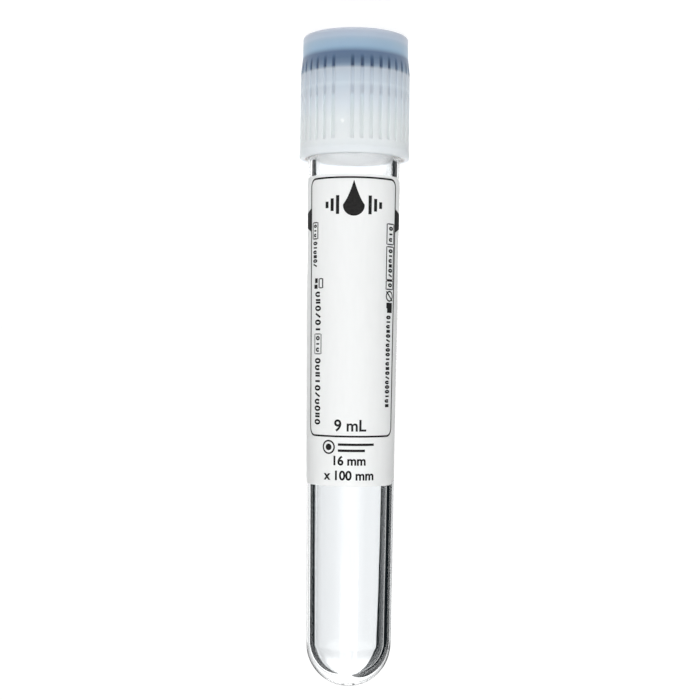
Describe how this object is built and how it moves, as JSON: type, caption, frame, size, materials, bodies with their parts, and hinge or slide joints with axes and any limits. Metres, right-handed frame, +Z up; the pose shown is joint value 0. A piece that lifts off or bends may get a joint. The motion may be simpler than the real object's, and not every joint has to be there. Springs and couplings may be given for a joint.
{
  "type": "blood collection tube",
  "caption": "Clear round-ended tube standing on its ribbed cap, with a rubber stopper that stays in the cap when the tube is pulled out, and a wrap-around label.",
  "frame": {"origin": "middle of the cap's rim, on the surface that the tube stands on", "axes": "+Z up along the tube from the cap to the round end, -Y out through the middle of the label, +X to the right when the label is faced with the cap down"},
  "size_m": [0.0188, 0.0188, 0.1102],
  "materials": {
    "clear_plastic": "clear, polished",
    "cap_plastic": "natural, translucent, satin",
    "stopper_rubber": "matt",
    "label_film": "white film with black print, satin"
  },
  "bodies": {
    "closure": {"cap": "cap_plastic", "rubber_stopper": "stopper_rubber"},
    "tube": {"tube": "clear_plastic", "label": "label_film"}
  },
  "joints": [
    {"name": "tube_pull", "type": "slide", "parent": "closure", "child": "tube", "axis": [0, 0, 1], "range_m": [0, 0.03]}
  ]
}
